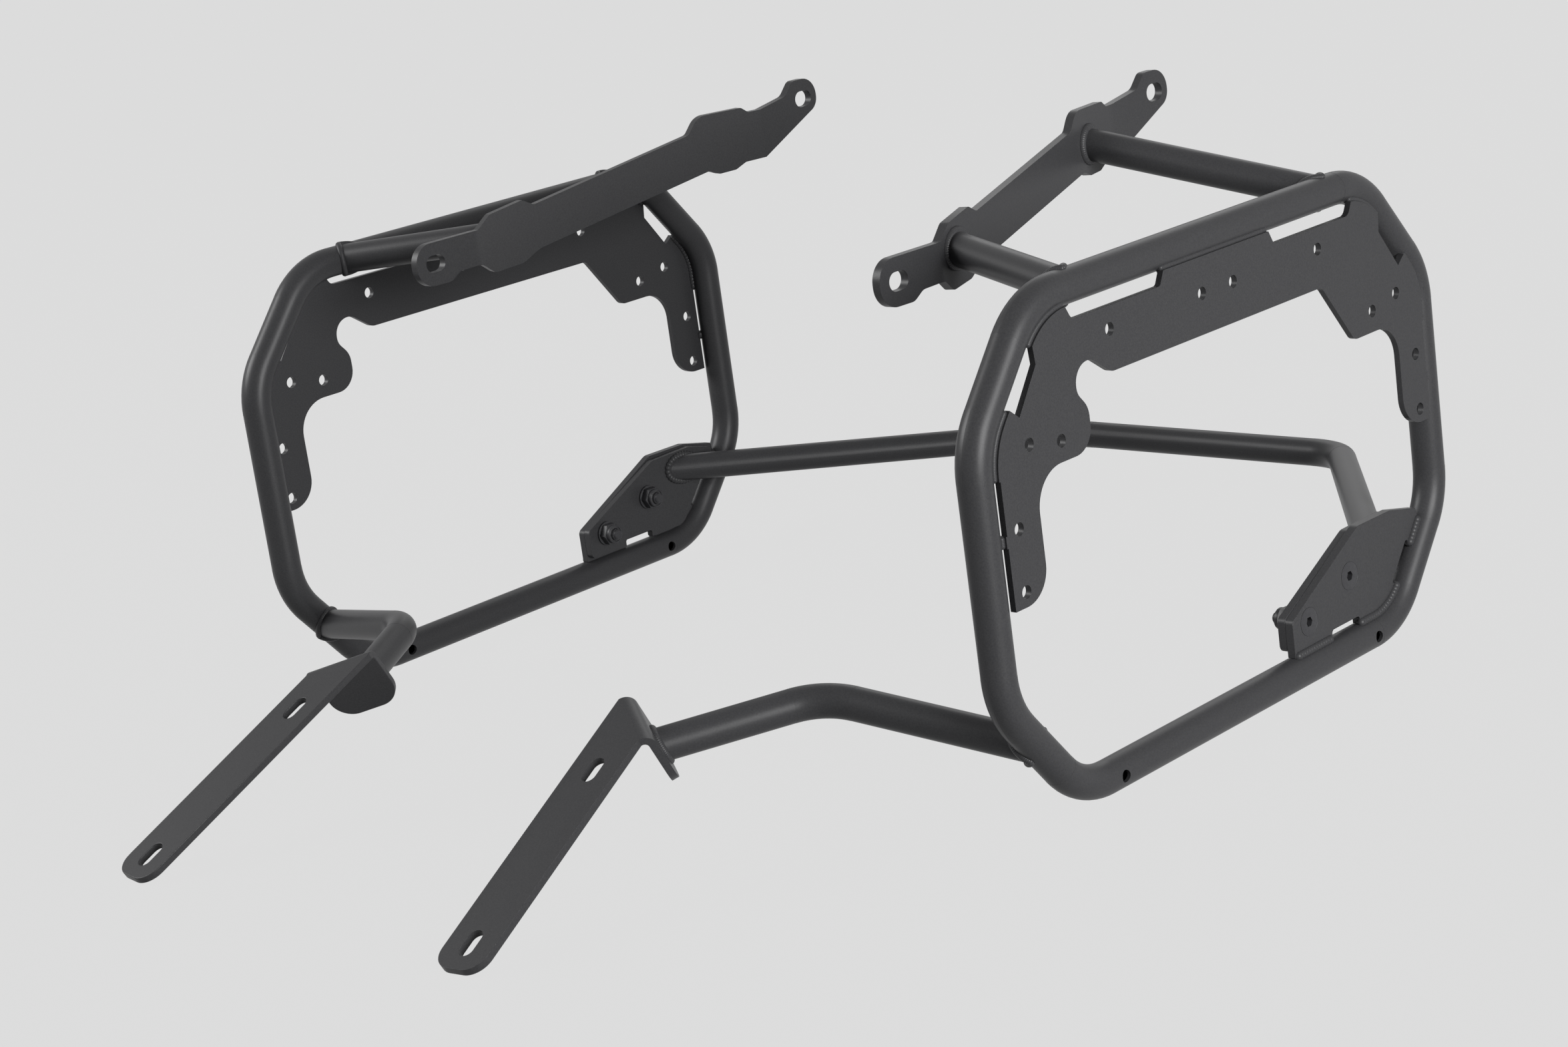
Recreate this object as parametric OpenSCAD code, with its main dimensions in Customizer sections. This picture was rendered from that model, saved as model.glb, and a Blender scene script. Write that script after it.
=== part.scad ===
// Motorbike pannier frame: a symmetric pair of bent tube hoops with carrier plates, joined by a crossbar.
// Units are millimetres, +Z is up, +Y is to the rear of the bike and +X is the rider's left.
// Lengths are laid out from the hoop datum, then moved so that the rear subframe bolt axis is the origin.

/* [View] */
// Node to show, or all

/* [Main tubes] */
// Outside diameter of every tube
tube_d = 18; // [14:0.5:25]
// Wall of every tube
tube_wall = 2; // [1:0.25:3]
// Gap left between a coped tube end and the tube it meets
cope_gap = 0.15; // [0.05:0.05:0.5]

/* [Hoop] */
// Distance of the hoop plane from the centre plane of the bike
hoop_x = 283.5; // [200:0.5:350]
// Length of the hoop between tube centrelines
hoop_len = 385; // [300:1:450]
// Height of the top tube centreline over the hoop datum
hoop_top = 26; // [10:0.5:60]
// Height of the bottom tube centreline, under the hoop datum
hoop_bottom = -225; // [-280:0.5:-150]
// Length that each corner chamfer takes along the bike
chamfer_y = 50; // [30:1:80]
// Length that each corner chamfer takes in height
chamfer_z = 60; // [30:1:80]
// Bend radius of the tubes at the centreline
bend_r = 46; // [30:1:60]
// Distance between the two cross-drilled holes in the bottom tube
drill_pitch = 232; // [150:1:260]
// Diameter of the cross-drilled holes
drill_d = 6.5; // [4:0.1:9]

/* [Carrier plate] */
// Thickness of the carrier plate
plate_t = 3.5; // [2:0.1:5]
// Distance of the plate edge from the tube centreline where it is welded
plate_weld_off = 7.3; // [7:0.1:9]
// Extra relief of the plate edge between the welds
plate_relief = 0.9; // [0.2:0.1:3]
// Height of the lower edge of the two top windows
window_z = 11.5; // [5:0.5:16]
// Height of the straight lower edge of the plate
plate_low_z = -21; // [-40:0.5:0]
// Height of the underside of the front lobe
lobe_z = -55; // [-70:0.5:-40]
// Height of the underside of the rear lobe
lobe_rear_z = -56; // [-70:0.5:-40]
// Height of the lower end of the two legs
leg_z = -117; // [-140:0.5:-100]
// Diameter of the carrier holes
carrier_hole_d = 6.8; // [4:0.1:9]

/* [Subframe rail] */
// Thickness of the rail
rail_t = 5; // [3:0.5:8]
// Distance of the front lug from the centre plane
lug_front_x = 183; // [150:0.5:230]
// Distance of the rear lug from the centre plane
lug_rear_x = 139.5; // [100:0.5:200]
// Position of the front fold
fold_front_y = -89; // [-100:0.5:-70]
// Position of the rear fold
fold_rear_y = 121; // [100:0.5:140]
// Position of the front bolt slot
slot_front_y = -121; // [-140:0.5:-100]
// Height of the front bolt slot
slot_front_z = 28; // [10:0.5:50]
// Position of the rear bolt slot
slot_rear_y = 160.5; // [140:0.5:180]
// Height of the rear bolt slot
slot_rear_z = 73.5; // [50:0.5:100]
// Width of the rail bolt slots
rail_slot_w = 10; // [6:0.5:14]
// Overall length of the rail bolt slots
rail_slot_len = 14.5; // [10:0.5:24]

/* [Upper struts] */
// Centre of the front strut on the rail, across, along and up
strut_front_in = [181, -70, 33.5]; // [-450:0.5:450]
// Position of the front strut along the top tube of the hoop
strut_front_out_y = -111; // [-130:0.5:-90]
// Centre of the rear strut on the rail
strut_rear_in = [150, 88, 57]; // [-450:0.5:450]
// Position of the rear strut along the top tube of the hoop
strut_rear_out_y = 111; // [90:0.5:130]

/* [Lower arm and foot bracket] */
// Bend point of the lower arm
arm_bend = [168, -197, -171.5]; // [-450:0.5:450]
// Height over the bottom tube at which the arm meets the hoop chamfer
arm_up = 33.5; // [20:0.5:50]
// Point where the arm meets the foot bracket flange
arm_foot = [123, -272, -178]; // [-450:0.5:450]
// Bend radius of the lower arm
arm_bend_r = 40; // [25:1:60]
// Centre of the lower slot on the top face of the foot bracket
foot_origin = [132, -417, -226]; // [-450:0.5:450]
// Slope of the foot bracket, rising to the rear
foot_pitch = 26.7; // [0:0.1:60]
// Turn of the foot bracket in its own plane
foot_yaw = 5.5; // [0:0.1:15]
// Thickness of the foot bracket
foot_t = 4; // [3:0.5:6]
// Width of the foot bracket strap
foot_w = 31; // [24:0.5:50]
// Distance between the two foot slots
foot_pitch_len = 112.5; // [60:0.5:150]
// Overall length of the foot slots
foot_slot_len = 16; // [10:0.5:30]
// Width of the foot slots
foot_slot_w = 8.5; // [5:0.5:12]
// Length of strap past the lower slot
foot_end = 16; // [12:0.5:30]
// Where the fold starts on the outer edge
fold_out = 134; // [110:0.5:150]
// Where the fold starts on the inner edge
fold_in = 160; // [130:0.5:180]
// Inside radius of the fold
fold_r = 3; // [1:0.5:8]
// Depth of the foot flange under the top face
flange_depth = 38; // [25:0.5:50]

/* [Bar bracket and crossbar] */
// Thickness of the bar bracket and of the crossbar flange
bar_t = 5; // [3:0.5:8]
// Length along the bike of the front bolt
bolt_front_y = 60.5; // [50:0.5:80]
// Height of the front bolt
bolt_front_z = -199.5; // [-210:0.5:-180]
// Length along the bike of the rear bolt
bolt_rear_y = 102; // [90:0.5:120]
// Height of the rear bolt
bolt_rear_z = -186; // [-200:0.5:-170]
// Centre of the crossbar on the flange, along and up
bar_ring = [138, -175]; // [-450:0.5:450]
// Bend point of the crossbar on the left side
bar_bend = [111, 356.5, -198]; // [-450:0.5:450]
// Bend radius of the crossbar
bar_bend_r = 42; // [30:1:60]

/* [Bolts] */
// Thread diameter of the crossbar bolts
bolt_d = 8; // [6:1:10]
// Clearance hole for the bolts
bolt_hole_d = 9; // [8.5:0.1:11]
// Head diameter of the countersunk screws
head_d = 16; // [14:0.1:18]
// Overall length of the countersunk screws
screw_len = 20; // [16:1:30]
// Width across flats of the socket
socket_af = 5; // [4:0.5:6]
// Width across flats of the nuts
nut_af = 13; // [12:0.5:15]
// Height of the hexagon of the nuts
nut_h = 5; // [4:0.1:7]
// Height of the locking collar of the nuts
collar_h = 1.5; // [1:0.1:3]
// Diameter of the washers
washer_d = 16; // [14:0.5:20]
// Thickness of the washers
washer_t = 1.5; // [1:0.1:2]
// Gap between a screw and the parts that turn on it
fit_gap = 0.1; // [0.05:0.05:0.3]

/* [Hidden] */
$fn = 64;
// Bends stand proud of the straight tube by this much
bend_step = 0.05;
// Straight tubes run this far into the bends
bend_lap = 0.3;
// Arcs are this much larger than their tangent circle, so that they always meet the edges
arc_over = 0.004;
steel = [0.13, 0.13, 0.14];
bright = [0.2, 0.2, 0.21];
tube_r = tube_d / 2;
bore_r = tube_r - tube_wall;
cope_r = tube_r + cope_gap;
half_len = hoop_len / 2;
arm_hoop = [hoop_x, chamfer_y * (1 - arm_up / chamfer_z) - half_len, hoop_bottom + arm_up];
strut_front_out = [hoop_x, strut_front_out_y, hoop_top];
strut_rear_out = [hoop_x, strut_rear_out_y, hoop_top];
chamfer_n = [chamfer_z, chamfer_y] / norm([chamfer_z, chamfer_y]);
chamfer_u = [chamfer_y, chamfer_z] / norm([chamfer_z, chamfer_y]);
rail_yaw = atan((lug_front_x - lug_rear_x) / (fold_rear_y - fold_front_y));
fold_ext = rail_t / 2 * tan(rail_yaw / 2);
rail_len = (fold_rear_y - fold_front_y) / cos(rail_yaw);
bar_outer = hoop_x + bar_t / 2;
bar_inner = hoop_x - bar_t / 2;
flange_inner = bar_inner - bar_t;
head_cone = (head_d - bolt_d) / 2;

function unit(v) = v / norm(v);
function cross2(a, b) = a.x * b.y - a.y * b.x;
function turn_of(a, b, c) = atan2(cross2(b - a, c - b), (b - a) * (c - b));
function left_of(v) = [-v.y, v.x];
// Angles that turn the X axis to ux and the XY plane to the plane of ux and v
function plane_angles(ux, v) = let (x = unit(ux), z = unit(cross(x, v)), y = cross(z, x))
  [atan2(y.z, z.z), -asin(x.z), atan2(x.y, x.x)];

// Move from the hoop datum to the part origin
module place() { translate([0, -slot_rear_y, -slot_rear_z]) children(); }
module right_hand() { mirror([1, 0, 0]) children(); }
// Turn a drawing made in along and up into the YZ plane, extruding to +X
module to_yz() { rotate([90, 0, 90]) children(); }

// Region between the two tangent points of a corner and the centre of its arc, cut to the arc
module corner_cap(p1, v, p2, c, r) {
  intersection() {
    translate(c) circle(r + arc_over);
    polygon([p1, v, p2, c]);
  }
}

// Polygon with a true arc at each corner that has a radius, points given counter-clockwise
module rounded(v, r) {
  n = len(v);
  ang = [for (i = [0:n - 1]) turn_of(v[(i + n - 1) % n], v[i], v[(i + 1) % n])];
  t = [for (i = [0:n - 1]) r[i] * tan(abs(ang[i]) / 2)];
  p1 = [for (i = [0:n - 1]) v[i] - unit(v[i] - v[(i + n - 1) % n]) * t[i]];
  p2 = [for (i = [0:n - 1]) v[i] + unit(v[(i + 1) % n] - v[i]) * t[i]];
  c = [for (i = [0:n - 1]) p1[i] + left_of(unit(v[i] - v[(i + n - 1) % n])) * r[i] * sign(ang[i])];
  difference() {
    polygon([for (i = [0:n - 1]) each r[i] > 0 ? [p1[i], p2[i]] : [v[i]]]);
    for (i = [0:n - 1]) if (r[i] > 0 && ang[i] < 0) corner_cap(p1[i], v[i], p2[i], c[i], r[i]);
  }
  for (i = [0:n - 1]) if (r[i] > 0 && ang[i] > 0) corner_cap(p1[i], v[i], p2[i], c[i], r[i]);
}

module tube(p, q) {
  turn = atan2(q.y - p.y, q.x - p.x);
  translate(p) rotate([0, 0, turn]) rotate([0, 90, 0]) rotate([0, 0, 90]) difference() {
    cylinder(h = norm(q - p), r = tube_r);
    translate([0, 0, -1]) cylinder(h = norm(q - p) + 2, r = bore_r);
  }
}

module tube_bend(c, r, a0, sweep) {
  translate(c) rotate([0, 0, a0]) rotate_extrude(angle = sweep) translate([r, 0]) difference() {
    circle(tube_r + bend_step);
    circle(bore_r - bend_step);
  }
}

// Bent tube along a flat path, each corner bent at radius r
module bent_tube(v, r, closed) {
  n = len(v);
  k0 = closed ? 0 : 1;
  k1 = closed ? n - 1 : n - 2;
  ang = [for (i = [0:n - 1]) turn_of(v[(i + n - 1) % n], v[i], v[(i + 1) % n])];
  t = [for (i = [0:n - 1]) i >= k0 && i <= k1 ? r * tan(abs(ang[i]) / 2) - bend_lap : 0];
  for (i = [0:closed ? n - 1 : n - 2]) {
    u = unit(v[(i + 1) % n] - v[i]);
    tube(v[i] + u * t[i], v[(i + 1) % n] - u * t[(i + 1) % n]);
  }
  for (i = [k0:k1]) {
    u = unit(v[i] - v[(i + n - 1) % n]);
    p = v[i] - u * (t[i] + bend_lap);
    c = p + left_of(u) * r * sign(ang[i]);
    a = atan2(p.y - c.y, p.x - c.x);
    tube_bend(c, r, ang[i] > 0 ? a : a + ang[i], abs(ang[i]));
  }
}

// Hoop
module hoop() {
  y1 = half_len;
  y0 = half_len - chamfer_y;
  path = [[-y0, hoop_bottom], [y0, hoop_bottom], [y1, hoop_bottom + chamfer_z], [y1, hoop_top - chamfer_z],
    [y0, hoop_top], [-y0, hoop_top], [-y1, hoop_top - chamfer_z], [-y1, hoop_bottom + chamfer_z]];
  place() translate([hoop_x, 0, 0]) to_yz() difference() {
    bent_tube(path, bend_r, true);
    for (s = [-1, 1]) translate([s * drill_pitch / 2, hoop_bottom, -tube_d])
      cylinder(h = 2 * tube_d, d = drill_d);
  }
}

// Point on the upper chamfer, e across it towards the inside and a along it from its upper corner
function upper_chamfer(e, a) =
  [half_len - chamfer_y, hoop_top] - e * chamfer_n + a * [chamfer_u.x, -chamfer_u.y];
// Point on the lower chamfer, e across it towards the inside and a along it from its lower corner
function lower_chamfer(e, a) =
  [half_len - chamfer_y, hoop_bottom] + e * [-chamfer_n.x, chamfer_n.y] + a * chamfer_u;

// Carrier plate outline, with the hook at the front and the straight flank at the rear
module carrier_outline() {
  e = plate_weld_off;
  h = half_len;
  top = hoop_top - e;
  side = h - e;
  q = upper_chamfer(e, 0);
  slope = chamfer_z / chamfer_y;
  yk = q.x - (top - q.y) / slope;
  zk = q.y - (side - q.x) * slope;
  pts = [[-yk, top], [-side, zk], [-side, leg_z], [34 - h, leg_z], [34 - h, lobe_z], [79.3 - h, lobe_z],
    [79.3 - h, -33.5], [71.7 - h, -25], [71.7 - h, -1.5], [100 - h, plate_low_z], [h - 101.5, plate_low_z],
    [h - 75, lobe_rear_z], [h - 33.5, lobe_rear_z], [h - 33.5, leg_z], [side, leg_z], [side, zk], [yk, top]];
  rad = [bend_r - e, bend_r - e, 0, 17, 20, 13, 12, 8, 10.4, 8, 6, 6, 19, 17, 0, bend_r - e, bend_r - e];
  rounded(pts, rad);
}

module carrier_windows() {
  h = half_len;
  up = hoop_top;
  for (s = [0, 1]) mirror([s, 0]) {
    a = s > 0 ? 47 : 52;
    b = h - (s > 0 ? 74 : 71);
    rounded([[a, window_z], [b, window_z], [b + 8, up], [a - 7.5, up]], [2.5, 5, 0, 0]);
    polygon([[h - 42, up - 14], [h - 43.5, up - 29.4], [h - 27.3, up - 51.4], [h - 20.9, up - 46.4],
      [h - 8.5, up - 40], [h - 20.5, up - 14]]);
  }
  side = h - plate_weld_off - plate_relief;
  for (z = [[-79, -52], [-120, -85]]) translate([-side - 9, z.x]) square([9, z.y - z.x]);
  for (z = [[-91, -61.5], [-120, -96]]) translate([side, z.x]) square([9, z.y - z.x]);
}

module carrier_holes() {
  h = half_len;
  for (s = [-1, 1]) for (p = [[h - 102, 0], [13.5, 0], [h - 56, -44.5], [h - 32, -40], [h - 17.5, -78],
    [h - 17.5, -109.5]])
    translate([s * p.x, p.y, -1]) cylinder(h = plate_t + 2, d = carrier_hole_d);
}

module carrier_plate() {
  place() translate([hoop_x + tube_r - plate_t, 0, 0]) to_yz() difference() {
    linear_extrude(plate_t) difference() {
      carrier_outline();
      carrier_windows();
    }
    carrier_holes();
  }
}

// Slot running along the first axis, cut through a plate that is t thick
module slot(len, w, t) {
  for (s = [-1, 1]) translate([s * (len - w) / 2, 0, -1]) cylinder(h = t + 2, d = w);
  translate([-(len - w) / 2, -w / 2, -1]) cube([len - w, w, t + 2]);
}

// Subframe rail: front lug, main flat yawed inwards and rear lug
function main_s(y) = (y - fold_front_y) / cos(rail_yaw);
module rail_lug_front() {
  y0 = fold_front_y + fold_ext;
  difference() {
    linear_extrude(rail_t) rounded([[y0, 19.8], [y0, 40.4], [-135.4, 40.6], [-135.4, 15.3], [-111, 15],
      [-103.5, 19.5]], [0, 0, 12, 12, 7, 7]);
    translate([slot_front_y, slot_front_z]) slot(rail_slot_len, rail_slot_w, rail_t);
  }
}
module rail_lug_rear() {
  y0 = fold_rear_y - fold_ext;
  difference() {
    linear_extrude(rail_t) rounded([[y0, 43.8], [172.7, 67.6], [172.7, 86], [152.5, 86], [144.5, 77.8],
      [y0, 73.9]], [0, 9, 11.5, 6, 8, 0]);
    translate([slot_rear_y, slot_rear_z]) slot(rail_slot_len, rail_slot_w, rail_t);
  }
}
module rail_main() {
  a = -fold_ext;
  l = rail_len;
  b = l + fold_ext;
  linear_extrude(rail_t) rounded([[a, 19.8], [3.5, 19.3], [11, 13], [31, 14.8], [43.5, 21], [l - 43.5, 43.2],
    [l - 36, 40], [l - 23.5, 40.3], [l - 15.5, 43.6], [b, 43.8], [b, 73.9], [l - 9, 74], [l - 14, 77.6],
    [l - 46.5, 78], [l - 55, 67.9], [44, 47.9], [36, 52], [13, 48], [3.5, 40.4], [a, 40.4]],
    [0, 2.5, 5, 8, 8, 5, 4, 4, 4, 0, 0, 2.5, 3, 12, 5, 5, 4, 6, 3, 0]);
}
module subframe_rail() {
  place() {
    translate([lug_front_x - rail_t / 2, 0, 0]) to_yz() rail_lug_front();
    translate([lug_front_x, fold_front_y, 0]) rotate([0, 0, rail_yaw]) translate([-rail_t / 2, 0, 0])
      to_yz() rail_main();
    translate([lug_rear_x - rail_t / 2, 0, 0]) to_yz() rail_lug_rear();
  }
}
// Everything on the bike side of the outer face of the rail
module behind_rail() {
  translate([lug_front_x, fold_front_y, 0]) rotate([0, 0, rail_yaw])
    translate([-100 + rail_t / 2, -60, -80]) cube([100, rail_len + 160, 240]);
}

// Straight tube from a flat face to a coped end on the top tube of the hoop
module strut(p, q) {
  d = unit(q - p);
  place() difference() {
    translate(p - 20 * d) rotate(plane_angles(d, [0, 0, 1])) tube([0, 0], [norm(q - p) + 20, 0]);
    behind_rail();
    translate([hoop_x, 0, hoop_top]) rotate([90, 0, 0]) translate([0, 0, -half_len])
      cylinder(h = hoop_len, r = cope_r);
    translate([hoop_x, -half_len, hoop_top - 40]) cube([60, hoop_len, 80]);
  }
}

// Foot bracket: strap with two slots, folded down at a slant, ending in a flange
fold_dir = unit([-foot_w, fold_in - fold_out]);
fold_len = norm([foot_w, fold_in - fold_out]);
fold_turn = atan2(fold_dir.y, fold_dir.x);
module at_foot() { translate(foot_origin) rotate([foot_pitch, 0, 0]) rotate([0, 0, foot_yaw]) children(); }
// Along the fold, towards the arm, and up
module at_fold() { translate([foot_w / 2, fold_out, 0]) rotate([0, 0, fold_turn]) children(); }
module foot_bracket() {
  w = foot_w / 2;
  place() at_foot() {
    difference() {
      translate([0, 0, -foot_t]) linear_extrude(foot_t)
        rounded([[-w, -foot_end], [w, -foot_end], [w, fold_out], [-w, fold_in]], [11, 11, 0, 0]);
      for (y = [0, foot_pitch_len]) translate([0, y, -foot_t]) rotate([0, 0, 90])
        slot(foot_slot_len, foot_slot_w, foot_t);
    }
    at_fold() {
      translate([0, 0, -foot_t - fold_r]) rotate([90, 0, 90]) difference() {
        intersection() {
          cylinder(h = fold_len, r = fold_r + foot_t);
          mirror([1, 0, 0]) translate([0, 0, -1]) cube([30, 30, fold_len + 2]);
        }
        translate([0, 0, -1]) cylinder(h = fold_len + 2, r = fold_r);
      }
      translate([0, -fold_r - foot_t, -foot_t - fold_r]) rotate([-90, 0, 0]) linear_extrude(foot_t)
        rounded([[0, 0], [fold_len, 0], [fold_len, flange_depth - foot_t - fold_r],
          [0, flange_depth - foot_t - fold_r]], [0, 0, 13, 13]);
    }
  }
}

// Lower arm: bent tube from the foot flange to the front lower chamfer of the hoop
module lower_arm() {
  d = unit(arm_hoop - arm_bend);
  e = arm_foot - arm_bend;
  phi = acos(d * unit(e));
  len_e = norm(e) + 16;
  place() difference() {
    translate(arm_bend) rotate(plane_angles(d, e)) bent_tube(
      [[norm(arm_hoop - arm_bend) + 2, 0], [0, 0], [len_e * cos(phi), len_e * sin(phi)]], arm_bend_r, false);
    translate([hoop_x, -half_len + chamfer_y, hoop_bottom]) rotate([atan2(chamfer_y, chamfer_z), 0, 0])
      translate([0, 0, -20]) cylinder(h = 120, r = cope_r);
    translate([hoop_x, -half_len - 20, hoop_bottom - 20]) cube([60, 110, 120]);
    at_foot() at_fold() translate([-30, -fold_r - foot_t, -60]) cube([100, 60, 80]);
  }
}

// Bar bracket outline, following the bottom tube and the rear lower chamfer of the hoop
module bar_bracket_outline() {
  e = tube_r + 0.1;
  g = tube_r + 5.5;
  h = half_len;
  z = hoop_bottom;
  low = z + e;
  q = lower_chamfer(e, 0);
  yk = q.x + (low - q.y) * chamfer_y / chamfer_z;
  difference() {
    rounded([[h - 147.5, low], [h - 111.5, low], [h - 111.5, z + 14], [h - 84.5, z + 14], [h - 84.5, low],
      [yk, low], lower_chamfer(e, 59), lower_chamfer(g, 63.5), [h - 46.5, z + 64], [h - 79, z + 64.3],
      [h - 147.5, z + 30]],
      [0, 0, 2, 2, 0, bend_r - e, 0, 1, 4, 8, 4]);
    rounded([lower_chamfer(e - 4, 18), lower_chamfer(e - 4, 44), lower_chamfer(g, 44), lower_chamfer(g, 18)],
      [0, 0, 1.5, 1.5]);
  }
}
module bolt_holes_at() {
  for (p = [[bolt_front_y, bolt_front_z], [bolt_rear_y, bolt_rear_z]]) translate(p) children();
}
module bar_bracket() {
  place() translate([bar_inner, 0, 0]) to_yz() difference() {
    linear_extrude(bar_t) bar_bracket_outline();
    bolt_holes_at() {
      translate([0, 0, -1]) cylinder(h = bar_t + 2, d = bolt_hole_d);
      translate([0, 0, bar_t - head_cone - fit_gap])
        cylinder(h = head_cone + 1, r1 = bolt_d / 2, r2 = head_d / 2 + 1);
    }
  }
}
module crossbar_flange() {
  place() translate([flange_inner, 0, 0]) to_yz() difference() {
    linear_extrude(bar_t) rounded([[45, -213.5], [77, -213.5], [77, -209], [101.5, -209], [101.5, -213.5],
      [131.5, -213.5], [169, -168.5], [146, -162.5], [111, -163], [45, -194.5]],
      [4, 0, 2, 2, 0, 12, 3, 3, 8, 4]);
    bolt_holes_at() translate([0, 0, -1]) cylinder(h = bar_t + 2, d = bolt_hole_d);
  }
}

// Crossbar: one tube, two bends, trimmed at the inner face of each flange
module bar_tube() {
  dy = bar_bend.y - bar_ring.x;
  dz = bar_bend.z - bar_ring.y;
  run = norm([dy, dz]);
  over = 12;
  k = over / (flange_inner - bar_bend.x);
  end = [flange_inner + over, -run * (1 + k)];
  pts = [end, [bar_bend.x, 0], [-bar_bend.x, 0], [-end.x, end.y]];
  place() difference() {
    translate([0, bar_bend.y, bar_bend.z]) rotate([atan2(dz, dy), 0, 0]) bent_tube(pts, bar_bend_r, false);
    for (s = [-1, 1]) translate([s > 0 ? flange_inner : -flange_inner - 60, 60, -230]) cube([60, 140, 100]);
  }
}

// Countersunk socket screw, head face at z = 0 and shank towards -Z
module screw() {
  difference() {
    union() {
      translate([0, 0, -head_cone]) cylinder(h = head_cone, r1 = bolt_d / 2, r2 = head_d / 2);
      translate([0, 0, -screw_len]) cylinder(h = screw_len - head_cone, r = bolt_d / 2);
    }
    translate([0, 0, -3]) cylinder(h = 4, d = socket_af / cos(30), $fn = 6);
  }
}
module washer() {
  difference() {
    cylinder(h = washer_t, d = washer_d);
    translate([0, 0, -1]) cylinder(h = washer_t + 2, d = bolt_d + 0.4);
  }
}
module nut() {
  difference() {
    union() {
      translate([0, 0, collar_h]) cylinder(h = nut_h, d = nut_af / cos(30), $fn = 6);
      cylinder(h = collar_h, d = nut_af - 0.8);
    }
    translate([0, 0, -1]) cylinder(h = nut_h + collar_h + 2, r = bolt_d / 2 + fit_gap);
  }
}
module at_bolt(y, z, x) { place() translate([x, y, z]) rotate([0, 90, 0]) children(); }
washer_x = flange_inner - washer_t;
nut_x = washer_x - nut_h - collar_h;

module hoop_left() { color(steel) hoop(); }
module hoop_right() { color(steel) right_hand() hoop(); }
module carrier_plate_left() { color(steel) carrier_plate(); }
module carrier_plate_right() { color(steel) right_hand() carrier_plate(); }
module subframe_rail_left() { color(steel) subframe_rail(); }
module subframe_rail_right() { color(steel) right_hand() subframe_rail(); }
module upper_strut_front_left() { color(steel) strut(strut_front_in, strut_front_out); }
module upper_strut_front_right() { color(steel) right_hand() strut(strut_front_in, strut_front_out); }
module upper_strut_rear_left() { color(steel) strut(strut_rear_in, strut_rear_out); }
module upper_strut_rear_right() { color(steel) right_hand() strut(strut_rear_in, strut_rear_out); }
module lower_arm_left() { color(steel) lower_arm(); }
module lower_arm_right() { color(steel) right_hand() lower_arm(); }
module foot_bracket_left() { color(steel) foot_bracket(); }
module foot_bracket_right() { color(steel) right_hand() foot_bracket(); }
module bar_bracket_left() { color(steel) bar_bracket(); }
module bar_bracket_right() { color(steel) right_hand() bar_bracket(); }
module crossbar() { color(steel) bar_tube(); }
module crossbar_flange_left() { color(steel) crossbar_flange(); }
module crossbar_flange_right() { color(steel) right_hand() crossbar_flange(); }
module screw_front_left() { color(bright) at_bolt(bolt_front_y, bolt_front_z, bar_outer) screw(); }
module screw_rear_left() { color(bright) at_bolt(bolt_rear_y, bolt_rear_z, bar_outer) screw(); }
module screw_front_right() {
  color(bright) right_hand() at_bolt(bolt_front_y, bolt_front_z, bar_outer) screw();
}
module screw_rear_right() {
  color(bright) right_hand() at_bolt(bolt_rear_y, bolt_rear_z, bar_outer) screw();
}
module washer_front_left() { color(bright) at_bolt(bolt_front_y, bolt_front_z, washer_x) washer(); }
module washer_rear_left() { color(bright) at_bolt(bolt_rear_y, bolt_rear_z, washer_x) washer(); }
module washer_front_right() {
  color(bright) right_hand() at_bolt(bolt_front_y, bolt_front_z, washer_x) washer();
}
module washer_rear_right() {
  color(bright) right_hand() at_bolt(bolt_rear_y, bolt_rear_z, washer_x) washer();
}
module nut_front_left() { color(bright) at_bolt(bolt_front_y, bolt_front_z, nut_x) nut(); }
module nut_rear_left() { color(bright) at_bolt(bolt_rear_y, bolt_rear_z, nut_x) nut(); }
module nut_front_right() {
  color(bright) right_hand() at_bolt(bolt_front_y, bolt_front_z, nut_x) nut();
}
module nut_rear_right() {
  color(bright) right_hand() at_bolt(bolt_rear_y, bolt_rear_z, nut_x) nut();
}

hoop_left();
hoop_right();
carrier_plate_left();
carrier_plate_right();
subframe_rail_left();
subframe_rail_right();
upper_strut_front_left();
upper_strut_front_right();
upper_strut_rear_left();
upper_strut_rear_right();
lower_arm_left();
lower_arm_right();
foot_bracket_left();
foot_bracket_right();
bar_bracket_left();
bar_bracket_right();
crossbar();
crossbar_flange_left();
crossbar_flange_right();
screw_front_left();
screw_rear_left();
screw_front_right();
screw_rear_right();
washer_front_left();
washer_rear_left();
washer_front_right();
washer_rear_right();
nut_front_left();
nut_rear_left();
nut_front_right();
nut_rear_right();
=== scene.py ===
# Motorbike pannier frame: two bent tube hoops with carrier plates, rails, arms, foot brackets and a crossbar.
# The CAD nodes are the welded frame. This script softens the cut edges, lays the weld beads, cuts the threads
# and gives every piece its coat. Lengths are millimetres from the hoop datum, as in the CAD source. Only the
# camera, the floor and the lamps are in metres.
import math

import bpy
from mathutils import Matrix, Vector


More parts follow.
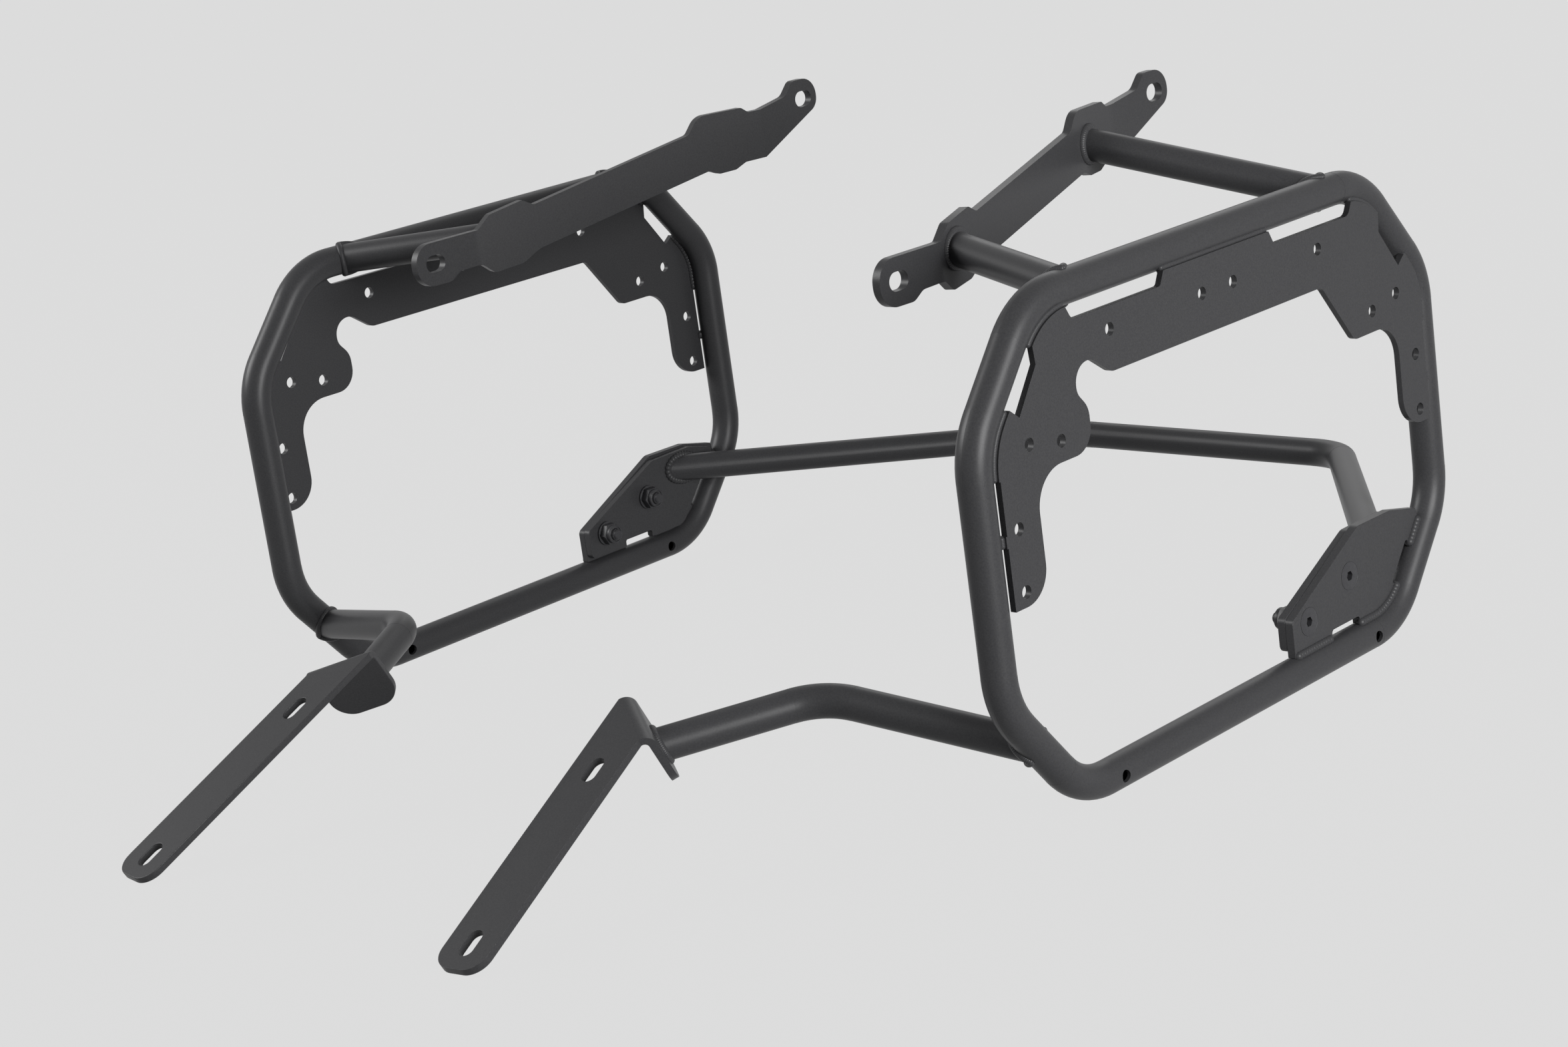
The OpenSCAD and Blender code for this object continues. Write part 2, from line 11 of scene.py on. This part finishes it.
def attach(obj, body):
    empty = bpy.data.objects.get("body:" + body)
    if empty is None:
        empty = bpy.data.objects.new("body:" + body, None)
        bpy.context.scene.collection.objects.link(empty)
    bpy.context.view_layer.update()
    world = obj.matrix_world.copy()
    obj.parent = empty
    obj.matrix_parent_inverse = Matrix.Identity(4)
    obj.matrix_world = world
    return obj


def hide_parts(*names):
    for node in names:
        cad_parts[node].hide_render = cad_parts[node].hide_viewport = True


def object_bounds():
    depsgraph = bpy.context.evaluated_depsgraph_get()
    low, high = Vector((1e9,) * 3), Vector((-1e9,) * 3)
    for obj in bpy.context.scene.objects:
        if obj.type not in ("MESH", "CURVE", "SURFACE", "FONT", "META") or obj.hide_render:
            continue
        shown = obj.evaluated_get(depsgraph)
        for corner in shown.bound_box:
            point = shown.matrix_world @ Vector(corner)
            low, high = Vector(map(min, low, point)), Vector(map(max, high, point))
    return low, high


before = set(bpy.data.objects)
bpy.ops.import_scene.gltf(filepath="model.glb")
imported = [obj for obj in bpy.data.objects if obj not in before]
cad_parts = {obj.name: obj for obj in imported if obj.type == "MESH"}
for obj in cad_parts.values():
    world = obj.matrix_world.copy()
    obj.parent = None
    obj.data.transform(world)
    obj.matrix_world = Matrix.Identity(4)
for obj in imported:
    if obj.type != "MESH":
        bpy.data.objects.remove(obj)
cad_low, cad_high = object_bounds()

MM = 0.001
SIDES = (("left", 1), ("right", -1))

# The part's origin in the hoop datum
SLOT_Y = 160.5
SLOT_Z = 73.5

# The centreline of the hoop
TUBE_R = 9.0
HOOP_X = 283.5
HOOP_TOP = 26.0
HOOP_BOTTOM = -225.0
HALF_LEN = 192.5
CHAMFER_Y = 50.0
CHAMFER_Z = 60.0
BEND_R = 46.0


def at(x, y, z):
    """A point of the hoop datum, in metres in the part's own frame."""
    return Vector((x, y - SLOT_Y, z - SLOT_Z)) * MM


def swapped(points, side):
    """Points of the left side, mirrored where the side is -1."""
    return [Vector((p.x * side, p.y, p.z)) for p in points]


# Camera at the photograph's viewing angle
CAMERA_PLACE = (1.2078, -1.3878, 0.2360)
CAMERA_RIGHT = Vector((0.71863, 0.68215, -0.13507))
CAMERA_UP = Vector((-0.08334, 0.27731, 0.95716))

bpy.ops.object.camera_add(location=CAMERA_PLACE)
camera = bpy.context.object
camera_turn = Matrix((CAMERA_RIGHT, CAMERA_UP, CAMERA_RIGHT.cross(CAMERA_UP))).transposed()
camera.matrix_world = Matrix.Translation(CAMERA_PLACE) @ camera_turn.to_4x4()
camera.data.sensor_width = 36
camera.data.lens = 69.37
camera.data.clip_start = 0.05
camera.data.clip_end = 60
bpy.context.scene.camera = camera


# Materials
def linear(code):
    """A colour written as sRGB hex, as the linear values that a shader takes."""
    channels = [int(code[i:i + 2], 16) / 255 for i in (1, 3, 5)]
    return [c / 12.92 if c <= 0.04045 else ((c + 0.055) / 1.055) ** 2.4 for c in channels] + [1.0]


def add_node(tree, kind, settings=None, links=None):
    """Adds a node, sets its properties and sockets by name, and links other nodes' outputs to it."""
    node = tree.nodes.new(kind)
    for key, value in (settings or {}).items():
        if isinstance(key, int) or key in node.inputs:
            node.inputs[key].default_value = value
        else:
            setattr(node, key, value)
    for key, output in (links or {}).items():
        tree.links.new(output, node.inputs[key])
    return node


def new_material(name):
    material = bpy.data.materials.new(name)
    material.use_nodes = True
    material.node_tree.nodes.clear()
    return material, material.node_tree


def mixed_tone(tree, factor, dark, light):
    """A colour between a dark and a light one, by a noise from 0 to 1."""
    tone = add_node(tree, "ShaderNodeMix", {"data_type": "RGBA"}, {"Factor": factor})
    tone.inputs[6].default_value = linear(dark)
    tone.inputs[7].default_value = linear(light)
    return tone.outputs[2]


def black_powder_coat():
    """Baked matte black polyester powder: a soft wide sheen, with a grain of about a millimetre."""
    material, tree = new_material("matte black powder coat")
    place = add_node(tree, "ShaderNodeTexCoord")
    # Grit of 0.9 mm, drawn a little coarser than the real 0.4 mm so that it shows
    grit = add_node(tree, "ShaderNodeTexNoise", {"Scale": 1100.0, "Detail": 2.0, "Roughness": 0.6},
                    {"Vector": place.outputs["Object"]})
    # Flow of the melted powder, waves of about 8 mm
    flow = add_node(tree, "ShaderNodeTexNoise", {"Scale": 120.0, "Detail": 1.0},
                    {"Vector": place.outputs["Object"]})
    tone = mixed_tone(tree, grit.outputs["Fac"], "#252527", "#383839")
    height = add_node(tree, "ShaderNodeMath", {"operation": "ADD"},
                      {0: grit.outputs["Fac"], 1: flow.outputs["Fac"]})
    bump = add_node(tree, "ShaderNodeBump", {"Strength": 0.35, "Distance": 0.00006},
                    {"Height": height.outputs["Value"]})
    coat = add_node(tree, "ShaderNodeBsdfPrincipled",
                    {"Roughness": 0.38, "IOR": 1.5, "Specular IOR Level": 0.16},
                    {"Base Color": tone, "Normal": bump.outputs["Normal"]})
    add_node(tree, "ShaderNodeOutputMaterial", None, {"Surface": coat.outputs["BSDF"]})
    return material


def black_zinc():
    """Black zinc plate on turned steel: plain and faintly mottled, without the grain of the coat."""
    material, tree = new_material("black zinc plated steel")
    place = add_node(tree, "ShaderNodeTexCoord")
    mottle = add_node(tree, "ShaderNodeTexNoise", {"Scale": 500.0, "Detail": 2.0},
                      {"Vector": place.outputs["Object"]})
    tone = mixed_tone(tree, mottle.outputs["Fac"], "#28282a", "#343436")
    plate = add_node(tree, "ShaderNodeBsdfPrincipled", {"Roughness": 0.4, "Specular IOR Level": 0.2},
                     {"Base Color": tone})
    add_node(tree, "ShaderNodeOutputMaterial", None, {"Surface": plate.outputs["BSDF"]})
    return material


def nylon_ring():
    """Black moulded nylon of the locking ring: plain and slightly waxy."""
    material, tree = new_material("black moulded nylon")
    nylon = add_node(tree, "ShaderNodeBsdfPrincipled",
                     {"Base Color": linear("#1d1d1f"), "Roughness": 0.45, "IOR": 1.53})
    add_node(tree, "ShaderNodeOutputMaterial", None, {"Surface": nylon.outputs["BSDF"]})
    return material


COAT = black_powder_coat()
ZINC = black_zinc()
NYLON = nylon_ring()


# Modelling helpers
def deselect():
    if bpy.context.mode != "OBJECT":
        bpy.ops.object.mode_set(mode="OBJECT")
    bpy.ops.object.select_all(action="DESELECT")


def make_active(piece):
    deselect()
    piece.select_set(True)
    bpy.context.view_layer.objects.active = piece


def apply_place(piece):
    make_active(piece)
    bpy.ops.object.transform_apply(location=True, rotation=True, scale=True)


def apply_modifier(piece, kind, **settings):
    make_active(piece)
    modifier = piece.modifiers.new("shape", kind)
    for key, value in settings.items():
        setattr(modifier, key, value)
    bpy.ops.object.modifier_apply(modifier=modifier.name)


def bevel(piece, width, segments, degrees, **settings):
    """Rounds the edges that are sharper than an angle."""
    apply_modifier(piece, "BEVEL", width=width * MM, segments=segments, limit_method="ANGLE",
                   angle_limit=math.radians(degrees), **settings)


def cut(piece, tool, operation="DIFFERENCE"):
    apply_modifier(piece, "BOOLEAN", operation=operation, solver="EXACT", object=tool)
    bpy.data.objects.remove(tool)


def smooth_by_angle(piece, degrees=35):
    make_active(piece)
    bpy.ops.object.shade_smooth_by_angle(angle=math.radians(degrees))


def joined(pieces, name):
    make_active(pieces[0])
    for piece in pieces[1:]:
        piece.select_set(True)
    if len(pieces) > 1:
        bpy.ops.object.join()
    pieces[0].name = name
    return pieces[0]


def linked_copy(name, mesh):
    """A new object in the scene, at the origin, with a mesh of its own."""
    piece = bpy.data.objects.new(name, mesh.copy())
    bpy.context.scene.collection.objects.link(piece)
    return piece


def finish_piece(piece, name, material, replaces=()):
    piece.name = name
    piece.data.name = name
    piece.data.materials.clear()
    piece.data.materials.append(material)
    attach(piece, "root")
    if replaces:
        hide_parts(*replaces)
    return piece


# Cut edges of the plates, softened by the coat that flows over them
PLATES = ("carrier_plate", "subframe_rail", "foot_bracket", "bar_bracket", "crossbar_flange")
FASTENERS = ("screw", "washer", "nut")
EDGE = 0.45
SAME_POINT = 0.002


def softened(node):
    """A copy of a plate with rounded edges, which stands for the plate."""
    piece = linked_copy(node + "_plate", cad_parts[node].data)
    make_active(piece)
    bpy.ops.object.mode_set(mode="EDIT")
    bpy.ops.mesh.customdata_custom_splitnormals_clear()
    bpy.ops.mesh.select_all(action="SELECT")
    bpy.ops.mesh.remove_doubles(threshold=SAME_POINT * MM)
    bpy.ops.mesh.dissolve_limited(angle_limit=math.radians(0.5))
    bpy.ops.object.mode_set(mode="OBJECT")
    smooth_by_angle(piece)
    bevel(piece, EDGE, 3, 40, harden_normals=True, use_clamp_overlap=True)
    return finish_piece(piece, node + "_plate", COAT, (node,))


for side_name, _ in SIDES:
    for part in PLATES:
        softened(part + "_" + side_name)

for name, cad_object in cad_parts.items():
    cad_object.data.materials.clear()
    cad_object.data.materials.append(ZINC if name.split("_")[0] in FASTENERS else COAT)


# Weld beads
def drops_along(points, pitch, closed):
    """Places and directions at equal steps along a line of points."""
    line = points + [points[0]] if closed else points
    steps = [(b - a).length for a, b in zip(line, line[1:])]
    total = sum(steps)
    count = max(2, round(total / pitch))
    marks = [total * i / count for i in range(count if closed else count + 1)]
    placed = []
    for mark in marks:
        i = 0
        while i < len(steps) - 1 and mark > steps[i]:
            mark -= steps[i]
            i += 1
        along = (line[i + 1] - line[i]).normalized()
        placed.append((line[i] + along * min(mark, steps[i]), along))
    return placed


# Length of a drop along its seam, as a part of its width
RING_SQUASH = 0.8
SEAM_SQUASH = 1.0


def weld(name, points, width, pitch, closed):
    """A bead of overlapping drops. Each drop is modelled once and copied along the seam."""
    deselect()
    bpy.ops.mesh.primitive_uv_sphere_add(segments=14, ring_count=8, radius=width / 2 * MM)
    drop = bpy.context.object
    bpy.ops.object.mode_set(mode="EDIT")
    bpy.ops.mesh.select_all(action="SELECT")
    bpy.ops.transform.resize(value=(1, 1, RING_SQUASH if closed else SEAM_SQUASH))
    bpy.ops.object.mode_set(mode="OBJECT")
    bpy.ops.object.shade_smooth()
    pieces = []
    for place, along in drops_along(points, pitch * MM, closed):
        copy = linked_copy("drop", drop.data)
        copy.data.transform(Matrix.Translation(place) @ along.to_track_quat("Z", "Y").to_matrix().to_4x4())
        pieces.append(copy)
    bpy.data.objects.remove(drop)
    return finish_piece(joined(pieces, name), name, COAT)


def around(start, end, radius, count=72):
    """Points of a circle round the line from start to end, at its start, and the direction of the line."""
    along = (end - start).normalized()
    first = along.cross(Vector((0, 0, 1))).normalized()
    second = along.cross(first)
    turns = [2 * math.pi * i / count for i in range(count)]
    return [start + (first * math.cos(t) + second * math.sin(t)) * radius for t in turns], along


def ring_on_plane(start, end, radius, point, normal):
    """Where a tube round the line from start to end meets a flat face."""
    ring, along = around(start, end, radius * MM)
    return [p + along * ((point - p).dot(normal) / along.dot(normal)) for p in ring]


def ring_on_tube(start, end, radius, axis_point, axis, tube_radius):
    """Where a tube round the line from start to end first meets another tube."""
    ring, along = around(start, end, radius * MM)
    axis = axis.normalized()
    across = along - axis * along.dot(axis)
    met = []
    for p in ring:
        off = p - axis_point
        off = off - axis * off.dot(axis)
        a, b = across.dot(across), off.dot(across)
        c = off.dot(off) - (tube_radius * MM) ** 2
        met.append(p + along * ((-b - math.sqrt(max(0.0, b * b - a * c))) / a))
    return met


# The upper struts, from the rail to the hoop
STRUTS = {"front": ((181, -70, 33.5), (283.5, -111, 26)), "rear": ((150, 88, 57), (283.5, 111, 26))}

# The rail: its thickness and the centre of each lug, across and along the bike
LUG_FRONT = (183.0, -89.0)
LUG_REAR = (139.5, 121.0)
RAIL_T = 5.0

# The lower arm: its ends, its bend and how far over the bottom tube it meets the hoop
ARM_UP = 33.5
ARM_BEND = (168, -197, -171.5)
ARM_HOOP = (HOOP_X, CHAMFER_Y * (1 - ARM_UP / CHAMFER_Z) - HALF_LEN, HOOP_BOTTOM + ARM_UP)
ARM_FOOT = (123, -272, -178)

# The crossbar: its centre on the flange, along the bike and up, and its bend
BAR_RING = (138, -175)
BAR_BEND = (111, 356.5, -198)
FLANGE_X = 276.0

# The foot bracket: the origin of its outline, its slope and turn, and its slanted fold
FOOT_ORIGIN = (132, -417, -226)
FOOT_PITCH = 26.7
FOOT_YAW = 5.5
FOLD_START = (15.5, 134.0)
FOLD_RUN = (-31.0, 26.0)
FOLD_DEPTH = 7.0

# Width of the drops of each ring weld and the step from drop to drop
RAIL_BEAD = (5.8, 1.1)
STRUT_BEAD = (4.0, 0.8)
ARM_BEAD = (4.4, 1.0)
FOOT_BEAD = (4.6, 1.0)
CROSSBAR_BEAD = (5.4, 2.4)

# Radius of the rings: the tubes, less what the drops are sunk into them
WIDE_RING_R = TUBE_R - 0.3
RING_R = TUBE_R - 0.2
RAIL_SINK = 0.2

rail_along = Vector((LUG_REAR[0] - LUG_FRONT[0], LUG_REAR[1] - LUG_FRONT[1], 0)).normalized()
rail_out = Vector((rail_along.y, -rail_along.x, 0))
rail_face = at(LUG_FRONT[0], LUG_FRONT[1], 0) + rail_out * RAIL_T / 2 * MM
rail_seam = rail_face - rail_out * RAIL_SINK * MM
foot_turn = (Matrix.Rotation(math.radians(FOOT_PITCH), 3, "X")
             @ Matrix.Rotation(math.radians(FOOT_YAW), 3, "Z"))
fold_turn = Matrix.Rotation(math.atan2(FOLD_RUN[1], FOLD_RUN[0]), 3, "Z")
foot_normal = foot_turn @ fold_turn @ Vector((0, -1, 0))
fold_place = at(*FOOT_ORIGIN) + foot_turn @ Vector((FOLD_START[0], FOLD_START[1], 0)) * MM
foot_face = fold_place + foot_normal * FOLD_DEPTH * MM
top_tube = Vector((0, 1, 0))
lower_chamfer = Vector((0, -CHAMFER_Y, CHAMFER_Z))
inward = Vector((-1, 0, 0))

for side_name, side in SIDES:
    for end_name, (inner, outer) in STRUTS.items():
        seam = ring_on_plane(at(*inner), at(*outer), WIDE_RING_R, rail_seam, rail_out)
        weld(f"weld_rail_{end_name}_{side_name}", swapped(seam, side), *RAIL_BEAD, True)
        seam = ring_on_tube(at(*inner), at(*outer), RING_R, at(HOOP_X, 0, HOOP_TOP), top_tube, RING_R)
        weld(f"weld_strut_{end_name}_{side_name}", swapped(seam, side), *STRUT_BEAD, True)
    seam = ring_on_tube(at(*ARM_BEND), at(*ARM_HOOP), RING_R, at(HOOP_X, -HALF_LEN + CHAMFER_Y, HOOP_BOTTOM),
                        lower_chamfer, RING_R)
    weld(f"weld_arm_{side_name}", swapped(seam, side), *ARM_BEAD, True)
    seam = ring_on_plane(at(*ARM_BEND), at(*ARM_FOOT), RING_R, foot_face, foot_normal)
    weld(f"weld_foot_{side_name}", swapped(seam, side), *FOOT_BEAD, True)
    seam = ring_on_plane(at(*BAR_BEND), at(FLANGE_X, *BAR_RING), WIDE_RING_R, at(FLANGE_X, 0, 0), inward)
    weld(f"weld_crossbar_{side_name}", swapped(seam, side), *CROSSBAR_BEAD, True)


def hoop_line(offset, step=0.8):
    """The hoop's inner side at a distance from its centreline, as points along the bike and up."""
    flat, end = HALF_LEN - CHAMFER_Y, HALF_LEN
    upper, lower = HOOP_TOP - CHAMFER_Z, HOOP_BOTTOM + CHAMFER_Z
    corners = [(flat, HOOP_TOP), (end, upper), (end, lower), (flat, HOOP_BOTTOM),
               (-flat, HOOP_BOTTOM), (-end, lower), (-end, upper), (-flat, HOOP_TOP)]
    corners = [Vector(c) for c in corners]
    points = []
    for i, corner in enumerate(corners):
        into = (corner - corners[i - 1]).normalized()
        out = (corners[(i + 1) % len(corners)] - corner).normalized()
        turn = into.angle(out)
        reach = BEND_R * math.tan(turn / 2)
        inside = Vector((into.y, -into.x))
        centre = corner - into * reach + inside * BEND_R
        start = -inside * (BEND_R - offset)
        count = max(2, round((BEND_R - offset) * turn / step))
        for k in range(count + 1):
            spin = -turn * k / count
            turned = Vector((start.x * math.cos(spin) - start.y * math.sin(spin),
                             start.x * math.sin(spin) + start.y * math.cos(spin)))
            points.append(centre + turned)
    line = []
    for a, b in zip(points, points[1:] + points[:1]):
        count = max(1, round((b - a).length / step))
        line += [a + (b - a) * k / count for k in range(count)]
    return line


def stretch(line, low, high):
    """The part of a closed line inside a box, in its order round the line."""
    inside = [low[0] < p.x < high[0] and low[1] < p.y < high[1] for p in line]
    first = next(i for i in range(len(line)) if inside[i] and not inside[i - 1])
    run = []
    while inside[(first + len(run)) % len(line)]:
        run.append(line[(first + len(run)) % len(line)])
    return run


# Boxes round the stretches where the carrier plate is welded to the hoop: lowest and highest corner of each,
# along the bike and up
PLATE_SEAMS = (((-180, 6), (-122.5, 30)), ((-190, -52), (-160, -20.4)), ((-190, -85), (-180, -79)),
               ((-43.3, 15), (48.3, 30)), ((125.5, 6), (180, 30)), ((160, -61.5), (190, -20.4)),
               ((180, -96), (190, -91)))
# The bar bracket: its toe, its corner and its upper tab
BAR_SEAMS = (((48, -220), (78.5, -205)), ((109, -220), (150, -205)), ((150, -184.5), (180, -174)))


def seam_welds(name, boxes, offset, x, width, pitch, trim=0):
    """One bead on each stretch of the hoop's inner side, with a few points trimmed off its ends."""
    line = hoop_line(offset)
    for side_name, side in SIDES:
        beads = []
        for i, (low, high) in enumerate(boxes):
            run = stretch(line, low, high)
            off = min(trim, len(run) // 2 - 1)
            seam = [at(x, p.x, p.y) for p in run[off:len(run) - off]]
            beads.append(weld(f"{name}_{side_name}_{i}", swapped(seam, side), width, pitch, False))
        joined(beads, f"{name}_{side_name}")


seam_welds("weld_plate_outer", PLATE_SEAMS, offset=6.3, x=290.1, width=3.4, pitch=0.75, trim=1)
seam_welds("weld_plate_inner", PLATE_SEAMS, offset=7.7, x=289.1, width=4.8, pitch=2.3, trim=3)
seam_welds("weld_bar_bracket", BAR_SEAMS, offset=9.7, x=285.4, width=5.6, pitch=2.2)
seam_welds("weld_bar_inner", BAR_SEAMS[2:], offset=9.7, x=281.8, width=5.0, pitch=2.2)


# Crossbar bolts: countersunk screws, washers and locking nuts
BOLTS = {"front": (60.5, -199.5), "rear": (102.0, -186.0)}
HEAD_X = 286.0
WASHER_X = 274.5
NUT_X = 266.5
BOLT_R = 4.0
CORE_R = 3.35
THREAD_PITCH = 1.25
HEAD_R = 8.0
CONE = 4.0
SOCKET_FLATS = 5.0
SOCKET_DEPTH = 3.0
SCREW_LEN = 22.4
SHANK_IN_HEAD = 0.2
TIP_CHAMFER = 0.8
TIP_R = CORE_R - 0.7
THREAD_START = 0.6
WASHER_R = 8.0
WASHER_T = 1.5
NUT_FLATS = 13.0
NUT_H = 5.0
NUT_CORNER_R = 7.7
NUT_FACE_R = 6.35
NUT_SLOPE = 0.78
COLLAR_R = 6.1
COLLAR_H = 3.0
RING_SEAT_R = 5.0
RING_SEAT_H = 1.4
WASHER_BORE_R = BOLT_R + 0.2
NUT_BORE_R = BOLT_R + 0.1
RING_BORE_R = BOLT_R + 0.05


def cylinder(radius, low, high, sides=64, top=None):
    """A cylinder or cone about the Z axis between two heights."""
    deselect()
    bpy.ops.mesh.primitive_cone_add(vertices=sides, radius1=radius * MM,
                                    radius2=(radius if top is None else top) * MM,
                                    depth=(high - low) * MM, location=(0, 0, (low + high) / 2 * MM))
    piece = bpy.context.object
    apply_place(piece)
    return piece


def hexagon_prism(flats, low, high):
    """A hexagonal prism about the Z axis, by its width over the flats."""
    return cylinder(flats / 2 / math.cos(math.radians(30)), low, high, 6)


def thread_ridge(low, high):
    """The rolled thread: one ridge wound up the shank by the screw modifier."""
    turns = int((high - low) / THREAD_PITCH)
    flank = THREAD_PITCH * 0.45 * MM
    crest = THREAD_PITCH * 0.1 * MM
    depth = (BOLT_R - CORE_R) * MM
    deselect()
    bpy.ops.mesh.primitive_plane_add(size=THREAD_PITCH * MM, location=(0, 0, 0))
    ridge = bpy.context.object
    bpy.ops.object.mode_set(mode="EDIT")
    bpy.ops.mesh.select_all(action="SELECT")
    bpy.ops.mesh.merge(type="CENTER")
    for step in ((depth, 0, flank), (0, 0, crest), (-depth, 0, flank)):
        bpy.ops.mesh.extrude_region_move(TRANSFORM_OT_translate={"value": step})
    bpy.ops.mesh.select_all(action="SELECT")
    bpy.ops.transform.translate(value=(CORE_R * MM, 0, low * MM))
    bpy.ops.object.mode_set(mode="OBJECT")
    apply_place(ridge)
    apply_modifier(ridge, "SCREW", angle=2 * math.pi, screw_offset=THREAD_PITCH * MM, iterations=turns,
                   steps=32, render_steps=32, use_merge_vertices=False, axis="Z")
    return ridge


def countersunk_screw():
    head = cylinder(BOLT_R, -CONE, 0, 64, HEAD_R)
    socket = hexagon_prism(SOCKET_FLATS, -SOCKET_DEPTH, 1.0)
    bevel(head, 0.25, 2, 60)
    cut(head, socket)
    shank = cylinder(CORE_R, TIP_CHAMFER - SCREW_LEN, SHANK_IN_HEAD - CONE, 40)
    tip = cylinder(TIP_R, -SCREW_LEN, TIP_CHAMFER - SCREW_LEN, 40, CORE_R)
    for piece in (head, shank, tip):
        smooth_by_angle(piece)
    return joined([head, shank, tip, thread_ridge(THREAD_START - SCREW_LEN, -CONE)], "screw")


def flat_washer():
    ring = cylinder(WASHER_R, 0, WASHER_T)
    cut(ring, cylinder(WASHER_BORE_R, -1, 3))
    bevel(ring, 0.22, 2, 60)
    smooth_by_angle(ring)
    return ring


def barrel(radius, flat, low, high, slope):
    """A round body with a cone at each end, which cuts the chamfers of the hexagon."""
    body = cylinder(radius, low + slope, high - slope)
    bpy.ops.object.mode_set(mode="EDIT")
    for way in (1, -1):
        bpy.ops.mesh.select_all(action="DESELECT")
        bpy.ops.object.mode_set(mode="OBJECT")
        for face in body.data.polygons:
            face.select = face.normal.z * way > 0.9
        bpy.ops.object.mode_set(mode="EDIT")
        bpy.ops.mesh.extrude_region_move(TRANSFORM_OT_translate={"value": (0, 0, way * slope * MM)})
        bpy.ops.transform.resize(value=(flat / radius, flat / radius, 1))
    bpy.ops.object.mode_set(mode="OBJECT")
    return body


def locking_nut():
    """A hexagon on a round collar, which holds the nylon ring and points away from the washer."""
    top = COLLAR_H + NUT_H
    hexagon = hexagon_prism(NUT_FLATS, COLLAR_H, top)
    cut(hexagon, barrel(NUT_CORNER_R, NUT_FACE_R, COLLAR_H, top, NUT_SLOPE), "INTERSECT")
    collar = cylinder(COLLAR_R, 0, COLLAR_H + 0.5)
    bevel(collar, 0.9, 4, 60)
    cut(hexagon, collar, "UNION")
    cut(hexagon, cylinder(RING_SEAT_R, -1, RING_SEAT_H))
    cut(hexagon, cylinder(NUT_BORE_R, 0.5, top + 1))
    bevel(hexagon, 0.12, 2, 40)
    smooth_by_angle(hexagon, 28)
    return hexagon


def nylon_insert():
    ring = cylinder(RING_SEAT_R - 0.05, 0.35, RING_SEAT_H - 0.05)
    cut(ring, cylinder(RING_BORE_R, -1, 3))
    bevel(ring, 0.2, 2, 60)
    smooth_by_angle(ring)
    return ring


TURNED = (("screw", countersunk_screw, HEAD_X, ZINC), ("washer", flat_washer, WASHER_X, ZINC),
          ("nut", locking_nut, NUT_X, ZINC), ("nylon", nylon_insert, NUT_X, NYLON))

for kind, maker, x, material in TURNED:
    pattern = maker()
    for side_name, side in SIDES:
        for end_name, (y, z) in BOLTS.items():
            copy = linked_copy(kind, pattern.data)
            turn = Matrix.Rotation(side * math.pi / 2, 4, "Y")
            copy.data.transform(Matrix.Translation(at(x * side, y, z)) @ turn)
            replaced = () if kind == "nylon" else (f"{kind}_{end_name}_{side_name}",)
            finish_piece(copy, f"{kind}_{end_name}_{side_name}_turned", material, replaced)
    bpy.data.objects.remove(pattern)


# Floor, background and lamps, in metres
FLOOR_Z = cad_low.z - 0.0006
PALE = linear("#dfdfdf")
MIDDLE = (0.0, -0.16, -0.15)
LAMPS = (("right_box", (2.52, -0.55, 0.37), 1.3, 1.3, 112), ("left_box", (-1.75, -1.65, 1.15), 1.3, 1.1, 70),
         ("back_box", (-1.2, 2.0, 1.2), 1.4, 1.0, 6))


def background_rays(tree):
    """1 for camera, glossy and transmission rays, which see the plain pale colour, and 0 for the rest."""
    rays = add_node(tree, "ShaderNodeLightPath")
    seen = add_node(tree, "ShaderNodeMath", {"operation": "MAXIMUM"},
                    {0: rays.outputs["Is Camera Ray"], 1: rays.outputs["Is Glossy Ray"]})
    seen = add_node(tree, "ShaderNodeMath", {"operation": "MAXIMUM"},
                    {0: seen.outputs["Value"], 1: rays.outputs["Is Transmission Ray"]})
    return seen.outputs["Value"]


def pale_floor():
    """Matte studio floor: mostly its plain colour, and for a small part lit, which keeps the shadow."""
    material, tree = new_material("pale studio floor")
    part = add_node(tree, "ShaderNodeMath", {"operation": "MULTIPLY", 1: 0.97}, {0: background_rays(tree)})
    matte = add_node(tree, "ShaderNodeBsdfDiffuse", {"Color": linear("#686868")})
    plain = add_node(tree, "ShaderNodeEmission", {"Color": PALE, "Strength": 1.0})
    mix = add_node(tree, "ShaderNodeMixShader", None,
                   {0: part.outputs["Value"], 1: matte.outputs["BSDF"], 2: plain.outputs["Emission"]})
    add_node(tree, "ShaderNodeOutputMaterial", None, {"Surface": mix.outputs["Shader"]})
    return material


def studio_world():
    """A faint even fill on the object, before a plain pale background."""
    world = bpy.data.worlds.new("studio")
    world.use_nodes = True
    tree = world.node_tree
    tree.nodes.clear()
    room = add_node(tree, "ShaderNodeBackground", {"Color": linear("#ffffff"), "Strength": 0.05})
    view = add_node(tree, "ShaderNodeBackground", {"Color": PALE, "Strength": 1.0})
    mix = add_node(tree, "ShaderNodeMixShader", None,
                   {0: background_rays(tree), 1: room.outputs["Background"], 2: view.outputs["Background"]})
    add_node(tree, "ShaderNodeOutputWorld", None, {"Surface": mix.outputs["Shader"]})
    return world


def lamp(name, place, width, height, power):
    """A soft box that looks at the middle of the part."""
    bpy.ops.object.light_add(type="AREA", location=place)
    light = bpy.context.object
    light.name = name
    light.data.shape = "RECTANGLE"
    light.data.size = width
    light.data.size_y = height
    light.data.energy = power
    light.rotation_euler = (Vector(MIDDLE) - Vector(place)).to_track_quat("-Z", "Y").to_euler()


deselect()
bpy.ops.mesh.primitive_plane_add(size=60, location=(0, 0, FLOOR_Z))
floor = bpy.context.object
floor.name = "floor"
floor.data.materials.append(pale_floor())

bpy.context.scene.world = studio_world()
bpy.context.scene.view_settings.view_transform = "Standard"
for settings in LAMPS:
    lamp(*settings)
